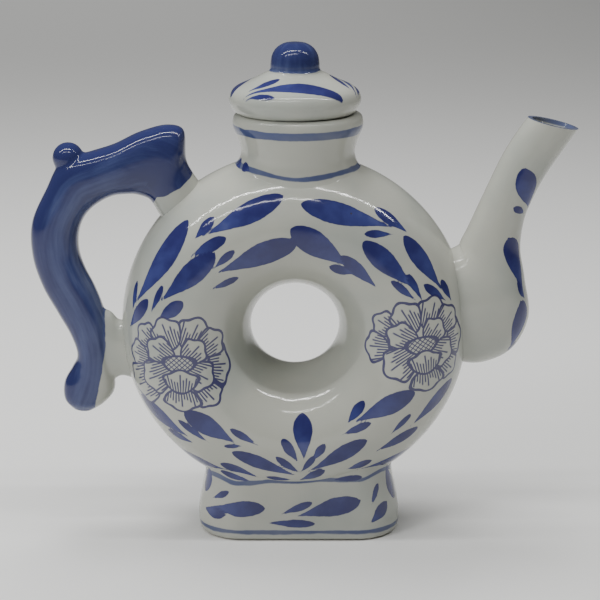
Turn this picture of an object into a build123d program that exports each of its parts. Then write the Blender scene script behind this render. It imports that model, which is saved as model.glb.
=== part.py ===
"""Ring-bodied glazed teapot: a hollow ring on a pedestal foot, with a neck, lid, spout and handle.

Millimetres. +Z is up, +X points to the spout, and -Y is the front. The origin is under the
ring's centre, in the plane of the foot's underside. The pot is an assembly of castings that the potter lutes
together before firing. The lid, with its flange and knob, is loose and lifts off.
"""
from build123d import *

import math
import os

# ---- Ring body: an elliptical tube turned about a horizontal axis along Y ----
RING_Z = 80.0  # height of the ring's centre above the table
RING_OUTER_R = 66.0
RING_THROAT_R = 16.8  # the hole through the ring, at its narrowest
RING_HALF_DEPTH = 29.0
WALL = 3.6  # thickness of a slip-cast wall
TUBE_MID_R = (RING_OUTER_R + RING_THROAT_R) / 2
TUBE_HALF = (RING_OUTER_R - RING_THROAT_R) / 2

# ---- Neck ----
NECK_X = 1.1  # the neck was luted a little towards the spout
NECK_BORE_R = 19.2
RIM_TOP_Z = 161.2  # the lid rests here
RIM_SEAT_R = 22.0  # outer edge of the flat seat on top of the rim
RIM_MAX_R = 24.3
RIM_MAX_Z = 158.0
LIP_MIDDLE = (23.8, 160.3)
NECK_WAIST_R = 21.3
NECK_WAIST_Z = 147.0
NECK_FOOT_R = 22.9
NECK_FOOT_Z = 141.0
NECK_BURIED_Z = 128.0  # the neck is cut off by the ring well above this height

# ---- Lid ----
LID_X = 0.0  # the lid is loose in the neck and has slid towards the handle
LID_MAX_R = 24.6
LID_MAX_Z = 166.1
LID_SEAT_R = 21.4
LID_SHOULDER = (21.9, 170.9)  # (radius, z) where the rounded edge meets the slope
LID_CROWN = (10.4, 176.4)
LID_TOP_Z = 177.5
LID_HOLLOW_Z = 173.9  # the dome's ceiling on its axis
LID_HOLLOW_CORNER = (14.9, 166.5)
FLANGE_OUTER_R = 17.7
FLANGE_INNER_R = 14.9
FLANGE_BOTTOM_Z = 151.5
VENT_R = 1.3
VENT_DEPTH = 24.0
VENT_Y = 13.5  # the steam vent is behind the knob
KNOB_R = 9.1
KNOB_BELT_Z = 179.6  # the knob is straight-sided below this height and domed above it
KNOB_TOP_Z = 187.4
KNOB_FULLNESS = 0.74  # 0.71 would make the dome an ellipse, and more makes it squarer
KNOB_BURIED_Z = 175.0

# ---- Foot: (height, half length, half depth, corner radius) of its rounded outline ----
FOOT_X = 1.5  # the foot was luted a little towards the spout
FOOT_SECTIONS = [
    (0.0, 37.4, 22.6, 15.7),
    (2.5, 38.5, 23.6, 16.8),
    (9.0, 38.7, 24.0, 17.2),
    (17.0, 37.1, 23.5, 17.2),
    (25.0, 35.4, 23.0, 17.0),
    (36.0, 34.6, 22.6, 16.6),
]
FOOT_WALL = 4.6

# ---- Spout: (point on its upper side, point on its lower side, half depth), in XZ ----
SPOUT_SECTIONS = [
    ((57.0, 108.0), (57.0, 66.0), 14.0),
    ((61.8, 110.4), (71.3, 64.8), 15.0),
    ((62.4, 111.6), (82.6, 70.0), 14.6),
    ((63.0, 113.0), (89.1, 82.5), 13.4),
    ((63.8, 114.6), (87.3, 98.0), 11.8),
    ((65.0, 117.0), (85.3, 109.5), 10.6),
    ((68.2, 124.3), (86.4, 120.5), 9.5),
    ((72.6, 134.3), (89.4, 128.8), 8.9),
    ((77.0, 144.0), (93.6, 137.0), 8.8),
    ((82.0, 153.0), (99.6, 146.2), 8.9),
    ((88.0, 161.6), (106.4, 155.8), 9.2),
    ((94.6, 169.6), (113.6, 165.4), 9.6),
]
MOUTH_TOP, MOUTH_BOTTOM = (86.7, 159.5), (105.6, 155.2)  # the mouth is cut along this line
SPOUT_WALL = 3.0  # at the ring
MOUTH_WALL = 1.7  # the wall thins towards the mouth
MOUTH_TRIM = 40.0  # size of the block that trims the mouth
STRAINER_HOLE_R = 2.2
STRAINER_Y = 5.0
STRAINER_PITCH_Z = 8.0
STRAINER_Z = 88.0

# ---- Handle: (point on its inner side, point on its outer side, half depth), in XZ ----
HANDLE_SECTIONS = [
    ((-44.5, 116.4), (-33.0, 131.6), 8.4),
    ((-50.6, 122.2), (-37.2, 136.6), 8.2),
    ((-53.4, 126.9), (-40.6, 143.0), 8.2),
    ((-55.8, 129.2), (-41.8, 155.0), 8.4),
    ((-59.5, 130.3), (-47.0, 156.6), 8.5),
    ((-63.5, 130.4), (-57.8, 154.0), 8.5),
    ((-68.0, 129.9), (-68.0, 149.2), 8.4),
    ((-72.1, 128.1), (-76.6, 146.5), 8.3),
    ((-76.6, 124.9), (-87.2, 143.0), 8.3),
    ((-79.8, 120.7), (-93.6, 132.0), 8.4),
    ((-81.6, 115.0), (-99.2, 119.4), 8.6),
    ((-81.6, 108.0), (-99.3, 106.6), 8.6),
    ((-79.4, 101.0), (-95.8, 94.8), 8.5),
    ((-76.0, 94.0), (-90.9, 85.4), 8.3),
    ((-72.6, 84.0), (-85.6, 75.4), 8.0),
    ((-71.0, 72.0), (-83.5, 67.6), 7.7),
    ((-69.6, 61.0), (-85.6, 62.8), 7.5),
    ((-69.6, 53.5), (-88.9, 56.6), 7.5),
    ((-73.4, 48.8), (-88.8, 50.2), 6.9),
    ((-78.6, 45.4), (-85.2, 45.8), 3.6),
]
HANDLE_CORNER = 0.82  # corner radius as a share of the section's smaller half
THUMB_STOP_X, THUMB_STOP_Z = -84.9, 144.1  # the small ball at the handle's shoulder
THUMB_STOP_R = 5.9
# The strut bridges the handle's tail to the ring: (lower point, upper point, half depth).
STRUT_SECTIONS = [
    ((-77.0, 56.5), (-77.0, 86.5), 5.4),
    ((-70.5, 57.5), (-70.5, 84.6), 6.0),
    ((-66.6, 59.4), (-67.2, 81.2), 6.2),
    ((-60.0, 57.6), (-60.0, 83.4), 7.4),
]

PARTS_FOLDER = "parts"


def ring_solid():
    """The whole ring filled in: other castings are trimmed by it, so they sit on its surface."""
    section = Pos(TUBE_MID_R, 0, RING_Z) * Ellipse(TUBE_HALF, RING_HALF_DEPTH)
    return revolve(section, Axis((0, 0, RING_Z), (0, 1, 0)))


def ring_half(side):
    """The hollow half of the ring in front of (-1) or behind (+1) the pot's mid plane."""
    outline = Curve()
    for inset in (0.0, WALL):
        outline += EllipticalCenterArc(
            (TUBE_MID_R, 0),
            TUBE_HALF - inset,
            RING_HALF_DEPTH - inset,
            start_angle=0,
            arc_size=side * 180,
        )
    for way in (-1, 1):
        edge = TUBE_MID_R + way * TUBE_HALF
        outline += Line((edge, 0), (edge - way * WALL, 0))
    section = Pos(0, 0, RING_Z) * make_face(outline)
    return revolve(section, Axis((0, 0, RING_Z), (0, 1, 0)))


def turned(outline, x):
    """A solid turned about the vertical axis at x from a closed outline of (radius, z)."""
    face = make_face(Plane.XZ * Curve(outline))
    return Pos(x, 0, 0) * revolve(face, Axis.Z)


def section_plane(near, far):
    """The plane through two points in XZ, and half the distance between them."""
    start, end = (Vector(p[0], 0, p[1]) for p in (near, far))
    across = end - start
    plane = Plane((start + end) / 2, x_dir=across, z_dir=across.cross(Vector(0, 1, 0)))
    return plane, across.length / 2


def oval_section(near, far, half_depth, inset=0.0):
    plane, half = section_plane(near, far)
    return plane * Ellipse(half - inset, half_depth - inset)


def strap_section(near, far, half_depth):
    plane, half = section_plane(near, far)
    corner = HANDLE_CORNER * min(half, half_depth)
    return plane * RectangleRounded(2 * half, 2 * half_depth, corner)


def ring_shell(side):
    """One moulded half of the ring, pierced for the neck and for the spout's strainer."""
    shell = ring_half(side)
    shell -= Pos(NECK_X, 0, RING_Z + RING_OUTER_R) * Cylinder(NECK_BORE_R, RING_OUTER_R / 1.5)
    for row in (-1, 0, 1):
        z = STRAINER_Z + row * STRAINER_PITCH_Z
        hole = Rot(0, 90, 0) * Cylinder(STRAINER_HOLE_R, 30)
        shell -= Pos(RING_OUTER_R, side * STRAINER_Y, z) * hole
    return shell


def neck_collar(outer):
    """The flared neck with its beaded rim, seated on the ring."""
    side = Spline(
        (NECK_FOOT_R, NECK_FOOT_Z),
        (NECK_WAIST_R, NECK_WAIST_Z),
        (RIM_MAX_R, RIM_MAX_Z),
        tangents=[(-0.5, 1), (0.1, 1)],
    )
    lip = ThreePointArc((RIM_MAX_R, RIM_MAX_Z), LIP_MIDDLE, (RIM_SEAT_R, RIM_TOP_Z))
    inside = Polyline(
        (RIM_SEAT_R, RIM_TOP_Z),
        (NECK_BORE_R, RIM_TOP_Z),
        (NECK_BORE_R, NECK_BURIED_Z),
        (NECK_FOOT_R, NECK_BURIED_Z),
        (NECK_FOOT_R, NECK_FOOT_Z),
    )
    return turned([side, lip, inside], NECK_X) - outer


def foot_outline(z, half_length, half_depth, corner, inset=0.0):
    return Pos(FOOT_X, 0, z) * RectangleRounded(
        2 * (half_length - inset), 2 * (half_depth - inset), corner - inset
    )


def pedestal_foot(outer):
    """The oblong foot: a wall round an open recess, under the ring."""
    block = loft([foot_outline(*s) for s in FOOT_SECTIONS])
    recess = foot_outline(*FOOT_SECTIONS[0], inset=FOOT_WALL)
    return block - extrude(recess, FOOT_SECTIONS[-1][0]) - outer


def spout(outer):
    """The gooseneck spout: a tapering oval tube that covers the strainer."""
    body = loft([oval_section(*s) for s in SPOUT_SECTIONS])
    thinning = (SPOUT_WALL - MOUTH_WALL) / (len(SPOUT_SECTIONS) - 1)
    walls = [SPOUT_WALL - k * thinning for k in range(len(SPOUT_SECTIONS))]
    bore = loft([oval_section(*s, inset=wall) for s, wall in zip(SPOUT_SECTIONS, walls)])
    mouth, _ = section_plane(MOUTH_TOP, MOUTH_BOTTOM)
    trim = mouth * Pos(0, 0, MOUTH_TRIM / 2) * Box(MOUTH_TRIM, MOUTH_TRIM, MOUTH_TRIM)
    return body - bore - trim - outer


def handle(outer):
    """The moulded handle, with its thumb stop and the strut that joins its tail."""
    strap = loft([strap_section(*s) for s in HANDLE_SECTIONS])
    strut = loft([strap_section(*s) for s in STRUT_SECTIONS])
    stop = Pos(THUMB_STOP_X, 0, THUMB_STOP_Z) * Sphere(THUMB_STOP_R)
    return strap + strut + stop - outer


def lid_dome():
    """The lid's dome, hollow below and open inside its flange, with a steam vent."""
    edge = ThreePointArc((LID_SEAT_R, RIM_TOP_Z), (LID_MAX_R, LID_MAX_Z), LID_SHOULDER)
    slope = TangentArc(LID_SHOULDER, LID_CROWN, tangent=edge % 1)
    crown = Spline(LID_CROWN, (0, LID_TOP_Z), tangents=[slope % 1, (-1, 0)])
    axis_line = Line((0, LID_TOP_Z), (0, LID_HOLLOW_Z))
    ceiling = Spline((0, LID_HOLLOW_Z), LID_HOLLOW_CORNER, tangents=[(1, 0), (0.15, -1)])
    seat = Polyline(LID_HOLLOW_CORNER, (FLANGE_INNER_R, RIM_TOP_Z), (LID_SEAT_R, RIM_TOP_Z))
    dome = turned([edge, slope, crown, axis_line, ceiling, seat], LID_X)
    vent = Pos(LID_X, VENT_Y, LID_TOP_Z) * Cylinder(VENT_R, VENT_DEPTH)
    return dome - vent


def lid_flange():
    """The ring under the lid that drops into the neck and keeps the lid from sliding off."""
    height = RIM_TOP_Z - FLANGE_BOTTOM_Z
    tube = Cylinder(FLANGE_OUTER_R, height) - Cylinder(FLANGE_INNER_R, height)
    low_edges = tube.edges().group_by(Axis.Z)[0]
    tube = fillet(low_edges, (FLANGE_OUTER_R - FLANGE_INNER_R) * 0.3)
    return Pos(LID_X, 0, FLANGE_BOTTOM_Z + height / 2) * tube


def lid_knob():
    """The domed knob, seated on the lid."""
    rise = KNOB_TOP_Z - KNOB_BELT_Z
    shoulder = (KNOB_R * KNOB_FULLNESS, KNOB_BELT_Z + rise * KNOB_FULLNESS)
    dome = Spline(
        (KNOB_R, KNOB_BELT_Z), shoulder, (0, KNOB_TOP_Z), tangents=[(0, 1), (-1, 0)]
    )
    side = Polyline(
        (0, KNOB_TOP_Z), (0, KNOB_BURIED_Z), (KNOB_R, KNOB_BURIED_Z), (KNOB_R, KNOB_BELT_Z)
    )
    return turned([dome, side], LID_X) - lid_dome()


def main():
    outer = ring_solid()
    nodes = {
        "ring_front_shell": ring_shell(-1),
        "ring_rear_shell": ring_shell(1),
        "neck_collar": neck_collar(outer),
        "pedestal_foot": pedestal_foot(outer),
        "spout": spout(outer),
        "handle": handle(outer),
        "lid_dome": lid_dome(),
        "lid_flange": lid_flange(),
        "lid_knob": lid_knob(),
    }
    os.makedirs(PARTS_FOLDER, exist_ok=True)
    for name, shape in nodes.items():
        export_step(shape, f"{PARTS_FOLDER}/{name}.step")
        print(name, "solids", len(shape.solids()), "volume", round(shape.volume, 1))


main()
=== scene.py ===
"""Looks of the ring teapot: glazed castings with hand-painted cobalt leaves and peonies.

Lengths inside this script are millimetres in the CAD frame (+Z up, +X to the spout, -Y to
the front) and turn into metres where a mesh is made.
"""

import math

import bmesh
import bpy
import numpy as np
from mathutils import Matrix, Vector


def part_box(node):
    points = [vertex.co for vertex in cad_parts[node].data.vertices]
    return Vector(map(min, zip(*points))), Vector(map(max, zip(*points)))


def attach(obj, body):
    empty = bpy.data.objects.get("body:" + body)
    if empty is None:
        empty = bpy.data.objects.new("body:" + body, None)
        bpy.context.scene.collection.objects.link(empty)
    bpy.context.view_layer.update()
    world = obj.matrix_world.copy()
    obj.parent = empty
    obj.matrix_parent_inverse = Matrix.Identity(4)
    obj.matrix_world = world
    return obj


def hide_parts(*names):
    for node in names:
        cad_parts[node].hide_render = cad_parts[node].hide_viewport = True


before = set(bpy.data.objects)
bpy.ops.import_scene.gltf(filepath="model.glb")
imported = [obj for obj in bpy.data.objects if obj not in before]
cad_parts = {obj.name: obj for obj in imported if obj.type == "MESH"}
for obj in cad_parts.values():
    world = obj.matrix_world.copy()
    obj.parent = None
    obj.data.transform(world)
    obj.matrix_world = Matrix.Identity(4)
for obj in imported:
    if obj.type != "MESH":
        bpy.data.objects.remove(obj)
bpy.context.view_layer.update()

MM = 0.001

# ---- sizes from the frame


def box_mm(node):
    low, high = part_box(node)
    return np.array(low) / MM, np.array(high) / MM


shell_low, shell_high = box_mm("ring_front_shell")
neck_low, neck_high = box_mm("neck_collar")
foot_low, foot_high = box_mm("pedestal_foot")
lid_low, lid_high = box_mm("lid_dome")

RING_R = (shell_high[0] - shell_low[0]) / 2
RING_Z = shell_low[2] + RING_R
RING_DEPTH = -shell_low[1]
THROAT_R = 16.8  # the hole through the ring, at its narrowest
TUBE_R = (RING_R + THROAT_R) / 2  # the middle of the ring's tube
TUBE_HALF = (RING_R - THROAT_R) / 2
WALL = 3.6

BORE_R = 19.2  # inside the neck
RIM_TOP = neck_high[2]
NECK_X = (neck_low[0] + neck_high[0]) / 2
FOOT_X = (foot_low[0] + foot_high[0]) / 2
LID_X = (lid_low[0] + lid_high[0]) / 2

SEARCH_STEPS = 26  # halvings that place a joint far finer than a micron
MERGE_DISTANCE = 1e-7  # metres
SHARP_ANGLE = math.radians(50)
FAR_AWAY = 9.0  # a painted distance that means bare glaze


# ---- curves and grids


def spline(keys, t):
    """Points of a smooth curve through the key rows, at parameters t from 0 to 1."""
    keys = np.asarray(keys, float)
    steps = np.sqrt((np.diff(keys, axis=0) ** 2).sum(1)) ** 0.7
    knots = np.concatenate([[0.0], np.cumsum(steps)])
    knots /= knots[-1]
    slopes = np.gradient(keys, knots, axis=0)
    t = np.clip(np.asarray(t, float), 0, 1)
    i = np.clip(np.searchsorted(knots, t, side="right") - 1, 0, len(knots) - 2)
    span = knots[i + 1] - knots[i]
    s = ((t - knots[i]) / span)[..., None]
    span = span[..., None]
    return (
        (2 * s**3 - 3 * s**2 + 1) * keys[i]
        + (s**3 - 2 * s**2 + s) * span * slopes[i]
        + (3 * s**2 - 2 * s**3) * keys[i + 1]
        + (s**3 - s**2) * span * slopes[i + 1]
    )


def full_turn(columns):
    return np.linspace(0, 2 * math.pi, columns, endpoint=False)


def turned_by(flat, angle):
    """Flat (x, y) points turned clockwise about the origin."""
    c, s = math.cos(angle), math.sin(angle)
    return flat @ np.array([[c, -s], [s, c]])


def smoothstep(low, high, x):
    s = np.clip((x - low) / (high - low), 0, 1)
    return s * s * (3 - 2 * s)


def ring_level(p):
    """About how far a point is outside the ring's glazed surface, negative inside."""
    radial = np.hypot(p[..., 0], p[..., 2] - RING_Z) - TUBE_R
    level = np.sqrt((radial / TUBE_HALF) ** 2 + (p[..., 1] / RING_DEPTH) ** 2)
    return (level - 1) * TUBE_HALF


def meet_ring(point_at, columns, outside, inside, level=0.0):
    """For each column, the parameter where point_at(parameter) crosses the ring's surface."""
    outside, inside = np.full(columns, float(outside)), np.full(columns, float(inside))
    for _ in range(SEARCH_STEPS):
        middle = (outside + inside) / 2
        is_out = ring_level(point_at(middle)) > level
        outside = np.where(is_out, middle, outside)
        inside = np.where(is_out, inside, middle)
    return (outside + inside) / 2


def grid_faces(rows, columns, close_rows=False):
    """Quads of a grid whose columns wrap round, as indices row * columns + column."""
    i, j = np.meshgrid(np.arange(rows if close_rows else rows - 1), np.arange(columns))
    i, j = i.ravel(), j.ravel()
    up, across = (i + 1) % rows, (j + 1) % columns
    return np.stack(
        [i * columns + j, i * columns + across, up * columns + across, up * columns + j], 1
    )


def add_object(name, data):
    made = bpy.data.objects.new(name, data)
    bpy.context.collection.objects.link(made)
    return made


def make_piece(node, points, faces, body, material, fields):
    """A smooth mesh from points in mm, with painted fields kept as vertex attributes."""
    name = node + "_glazed"
    mesh = bpy.data.meshes.new(name)
    mesh.from_pydata((points.reshape(-1, 3) * MM).tolist(), [], faces.tolist())
    for key, values in fields.items():
        is_vector = values.size == 3 * len(mesh.vertices)
        attribute = mesh.attributes.new(key, "FLOAT_VECTOR" if is_vector else "FLOAT", "POINT")
        attribute.data.foreach_set(
            "vector" if is_vector else "value", np.ascontiguousarray(values.ravel(), np.float32)
        )
    cleaner = bmesh.new()
    cleaner.from_mesh(mesh)
    bmesh.ops.remove_doubles(cleaner, verts=cleaner.verts, dist=MERGE_DISTANCE)
    bmesh.ops.recalc_face_normals(cleaner, faces=cleaner.faces)
    cleaner.to_mesh(mesh)
    cleaner.free()
    mesh.shade_smooth()
    mesh.set_sharp_from_angle(angle=SHARP_ANGLE)
    mesh.materials.append(material)
    piece = add_object(name, mesh)
    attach(piece, body)
    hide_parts(node)
    return piece


def make_grid_piece(node, grid, body, material, fields):
    """A piece from a grid whose rows and columns both wrap round."""
    faces = grid_faces(*grid.shape[:2], close_rows=True)
    return make_piece(node, grid, faces, body, material, fields)


# ---- painted strokes

# Each stroke is (x, y of its round end, x, y of its tip, width) on a piece's flat chart. A
# sixth number bends it sideways by that much at its middle.
STROKE_BELLY = 0.37  # a stroke is widest at this share of its length
STROKE_ROUNDNESS = 0.58  # lower makes the round end blunter
TAPER_END = 1.06  # the taper would reach nothing at this share of the length
TIP_STRETCH = 1.05  # the last fine hairs of a tip run on this far

# On the ring the chart is the front view about the ring's centre, with the surface's
# own length measured outwards, so strokes keep their width as the surface turns away.
RING_STROKES = [
    # upper left, along the handle's side
    (-4.5, 55.7, -32.4, 41.1, 8.5),
    (-30.2, 47.6, -37.1, 39.2, 4.2),
    (-41.3, 46.8, -62.6, 14.4, 9.6, 1.3),
    (-25.1, 39.9, -38.2, 33.0, 4.6),
    (-29.2, 34.0, -49.2, 16.2, 8.4),
    (0.7, 38.4, -27.6, 27.2, 9.4),
    (-21.9, 35.4, -29.6, 28.6, 3.0),
    (-20.4, 24.4, -30.7, 20.5, 2.9),
    (-63.8, 22.2, -64.7, 10.0, 3.0),
    (-49.2, 21.7, -54.1, 10.7, 2.6),
    (-55.8, 15.6, -66.8, 3.0, 5.4),
    (-41.1, 15.9, -51.3, 7.8, 5.2),
    # upper right
    (2.2, 52.5, 35.0, 44.1, 8.6),
    (29.9, 51.3, 42.6, 42.0, 5.0),
    (25.2, 41.3, 36.0, 41.1, 3.0),
    (24.8, 38.5, 43.1, 21.4, 7.9),
    (40.9, 40.4, 55.6, 20.0, 7.4),
    (-1.5, 43.4, 19.6, 29.2, 9.8),
    (16.7, 33.1, 29.7, 21.4, 5.4),
    (12.3, 28.1, 21.5, 26.0, 4.2),
    (35.1, 23.9, 44.1, 16.6, 2.9),
    (41.4, 26.3, 46.8, 16.3, 2.8),
    (47.8, 21.9, 57.3, 15.4, 3.6),
    (56.2, 23.2, 60.9, 14.9, 3.6),
    # lower left
    (-64.6, -26.9, -41.9, -38.0, 9.0),
    (-41.5, -27.0, -22.8, -38.3, 8.2),
    (-44.4, -31.1, -32.9, -39.2, 3.2),
    (-50.8, -38.6, -39.3, -41.3, 4.0),
    (-24.2, -33.1, -14.1, -39.3, 2.8),
    (-26.7, -40.3, -19.4, -39.8, 1.8),
    (-50.3, -53.6, -28.1, -53.7, 8.0),
    (-23.7, -42.7, 0.0, -52.8, 5.9),
    (-29.0, -49.9, -14.4, -55.2, 5.4),
    (-35.6, -63.2, -18.0, -59.8, 6.5),
    (-11.2, -54.7, -0.8, -56.1, 2.4),
    (-4.8, -37.0, 1.1, -46.2, 3.8),
    (-7.2, -44.2, 2.0, -51.8, 3.0),
    # the sprig in the middle
    (2.6, -27.3, 3.4, -44.7, 7.2),
    (11.2, -39.0, 6.6, -45.6, 3.2),
    (7.6, -43.6, 2.3, -51.1, 2.6),
    # lower right
    (44.7, -19.0, 22.8, -30.1, 7.6),
    (25.6, -22.4, 19.7, -30.8, 3.9),
    (28.3, -30.7, 17.6, -35.5, 3.1),
    (63.6, -18.2, 45.1, -33.3, 6.5),
    (43.8, -28.2, 36.1, -35.9, 2.5),
    (48.1, -36.0, 31.2, -43.2, 5.2),
    (26.9, -37.6, 6.0, -50.3, 6.4),
    (29.6, -48.2, 19.6, -51.5, 3.8),
    (52.4, -52.4, 24.5, -53.0, 6.6),
    (11.3, -50.6, 2.0, -56.0, 4.2),
    (27.8, -57.0, 16.4, -54.9, 4.0),
]

# On the spout the chart is (length round from the front towards the outer side, length
# from the mouth).
SPOUT_STROKES = [
    (-1.0, 19.2, 10.6, 34.0, 8.6),
    (12.4, 25.0, 13.4, 30.0, 2.4),
    (2.2, 34.2, 8.8, 36.4, 2.9),
    (4.4, 46.0, 13.4, 59.2, 9.2),
    (9.6, 58.0, 14.6, 61.0, 3.6),
    (11.6, 62.6, 20.5, 72.4, 8.2),
    (20.6, 71.2, 24.0, 73.4, 2.4),
]

# On the neck: dabs where the line was started, (length round from the front, height above
# the line).
NECK_STROKES = [
    (-32.4, 1.6, -27.4, -0.6, 3.4),
    (-26.2, 0.9, -20.6, -0.8, 3.2),
]

# On the foot the chart is (length round from the middle of the front, height).
FOOT_STROKES = [
    (-40.2, 16.6, -39.4, 27.6, 6.4),
    (-27.3, 19.4, -34.0, 15.7, 2.7),
    (-12.5, 13.3, -32.3, 12.9, 6.4),
    (-27.0, 10.2, -38.2, 10.8, 4.6),
    (5.0, 15.7, -6.1, 11.3, 3.0),
    (23.2, 16.6, 0.0, 10.5, 7.0),
    (5.7, 7.2, -11.4, 7.7, 3.2),
    (32.2, 22.2, 27.2, 14.1, 2.3),
    (41.4, 13.6, 38.4, 27.8, 7.0),
    (34.8, 14.1, 25.4, 7.0, 4.6),
    (-32.6, 27.2, -18.8, 23.9, 2.4),
    (25.8, 25.6, 13.4, 24.8, 2.4),
]

# On the lid the chart is the plan about its axis. The group repeats three times round.
LID_STROKES = [
    (17.4, -16.9, -17.2, -15.2, 6.0, 1.7),
    (-5.6, -11.6, -17.0, -13.6, 3.4),
    (-7.4, -22.0, -17.6, -16.6, 1.8),
]

# The peony is layers of petals, back to front: (x, y, half width, half height) each.
LOW_LEFT_PETAL = (-16.0, -9.8, 9.4, 7.6)
PETAL_LAYERS = [
    [(-13.6, 10.2, 5.3, 4.3), (5.2, 11.7, 5.9, 6.6), (15.3, -0.4, 4.4, 6.9), (10.5, -11.2, 4.8, 5.2)],
    [(-5.0, 11.7, 5.6, 6.3), (11.9, 7.9, 5.9, 4.9), (-18.2, 1.8, 4.9, 5.4)],
    [LOW_LEFT_PETAL, (7.4, -4.1, 5.2, 5.8)],
    [(-7.5, 4.6, 6.5, 4.6), (0.4, -13.8, 6.9, 4.5)],
    [(5.0, 4.9, 5.9, 3.7), (-9.6, -5.4, 6.9, 6.1)],
]
DISC = (-0.4, 0.2, 6.2, 3.4)  # the flower's cross-hatched middle
FRONT_PETAL = (0.1, -6.9, 6.3, 4.4)  # it stands upright before the disc
FLOWER_LAYERS = [*PETAL_LAYERS, [DISC], [FRONT_PETAL]]
# (x, y of the flower's centre on the ring's chart, its turn in degrees, its scale, and
# the petals it lacks)
FLOWERS = [(-42.6, -8.3, 0.0, 0.98, []), (47.6, -1.2, 8.0, 0.97, [LOW_LEFT_PETAL])]
FLOWER_REACH = 30.0  # no petal is farther than this from its flower's centre
PETAL_EDGE = 1.02  # a scalloped petal's mean size, against its half width and height
SCALLOP = 0.10  # how deep the scallops are, as a share of the petal
SCALLOPS = 5  # waves round a petal, drawn on its outer side only
PETAL_FLARE = 0.22  # how much wider a petal is at its tip than at its middle
HATCH_SPACING = 1.15
HATCH_START = 50.5  # puts a line on the petal's middle and keeps the line numbers positive


def stroke_field(chart, strokes):
    """Distance to the nearest stroke's edge, negative inside, and how far along it is."""
    distance = np.full(chart.shape[:-1], FAR_AWAY)
    along = np.zeros(chart.shape[:-1])
    for x0, y0, x1, y1, width, *bend in strokes:
        axis = np.array([x1 - x0, y1 - y0])
        length = np.hypot(*axis)
        axis /= length
        length *= TIP_STRETCH
        rel = chart - (x0, y0)
        t = (rel @ axis) / length
        side = rel @ np.array([-axis[1], axis[0]])
        inside = np.clip(t, 0, 1)
        side -= 4 * sum(bend) * inside * (1 - inside)
        fullness = np.where(
            inside < STROKE_BELLY,
            np.clip(1 - (1 - inside / STROKE_BELLY) ** 2, 0, 1) ** STROKE_ROUNDNESS,
            1 - smoothstep(STROKE_BELLY, TAPER_END, inside),
        )
        beside = np.abs(side) - width / 2 * fullness
        beyond = np.maximum(np.abs(t - 0.5) - 0.5, 0) * length
        here = np.hypot(np.maximum(beside, 0), beyond)
        here = np.where(here > 0, here, beside)
        near = here < distance
        distance = np.where(near, here, distance)
        along = np.where(near, inside, along)
    return distance, along


def petal_field(local, petal):
    """(edge distance, hatch line number, reach from base to tip) of one petal."""
    x, y, half_width, half_height = petal
    out = math.pi / 2 if petal in (DISC, FRONT_PETAL) else math.atan2(y, x)
    c, s = math.cos(out), math.sin(out)
    rel = local - (x, y)
    reach_size = math.hypot(half_width * c, half_height * s)
    side_size = math.hypot(half_width * s, half_height * c)
    away = (rel[..., 0] * c + rel[..., 1] * s) / reach_size
    side = (-rel[..., 0] * s + rel[..., 1] * c) / side_size
    side = side / (1 + PETAL_FLARE * np.clip(away, -1, 1))
    turn = np.arctan2(side, away)
    edge = PETAL_EDGE + SCALLOP * np.cos(SCALLOPS * turn) * np.clip(np.cos(turn) + 0.3, 0, 1)
    if petal is DISC:
        edge = 1.0
    distance = (np.hypot(away, side) - edge) * min(reach_size, side_size)
    return np.stack([distance, side * side_size / HATCH_SPACING + HATCH_START, away], -1)


def flower_fields(chart):
    """A field per petal layer, and local coordinates for the disc's cross hatching."""
    fields = [np.full(chart.shape[:-1] + (3,), FAR_AWAY) for _ in FLOWER_LAYERS]
    hatch = np.zeros(chart.shape[:-1] + (3,))
    for x, y, turn, scale, missing in FLOWERS:
        local = turned_by(chart - (x, y), math.radians(turn)) / scale
        mine = np.hypot(local[..., 0], local[..., 1]) < FLOWER_REACH
        hatch[..., :2] = np.where(mine[..., None], local, hatch[..., :2])
        for layer, petals in enumerate(FLOWER_LAYERS):
            for petal in petals:
                if petal in missing:
                    continue
                here = petal_field(local, petal)
                near = (here[..., 0] < fields[layer][..., 0]) & mine
                fields[layer] = np.where(near[..., None], here, fields[layer])
    return {f"petals_{n}": f for n, f in enumerate(fields)}, hatch


# ---- materials


GLAZE = (0.455, 0.46, 0.406)
GLAZE_POOLED = (0.37, 0.39, 0.355)
NAVY = (0.022, 0.024, 0.115)
COBALT = (0.042, 0.052, 0.190)
PALE_COBALT = (0.110, 0.130, 0.290)
LINE_BLUE = (0.026, 0.024, 0.110)
BAND_BLUE = (0.055, 0.075, 0.180)
BRUSH_DARK = (0.024, 0.030, 0.110)
BRUSH_BLUE = (0.052, 0.068, 0.175)
BRUSH_PALE = (0.120, 0.145, 0.250)
CLAY_DARK = (0.42, 0.36, 0.27)
CLAY_PALE = (0.55, 0.50, 0.41)
DIRT = (0.05, 0.045, 0.04)

GLAZE_RELIEF = 0.0004  # metres
PIT_SCALE = 95.0
PIT_SHARE = 0.07  # the share of cells that have a pinhole
BAND_SOFTNESS = 0.25
HATCH_SLANT = 1.15  # slope of the disc's cross hatching


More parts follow.
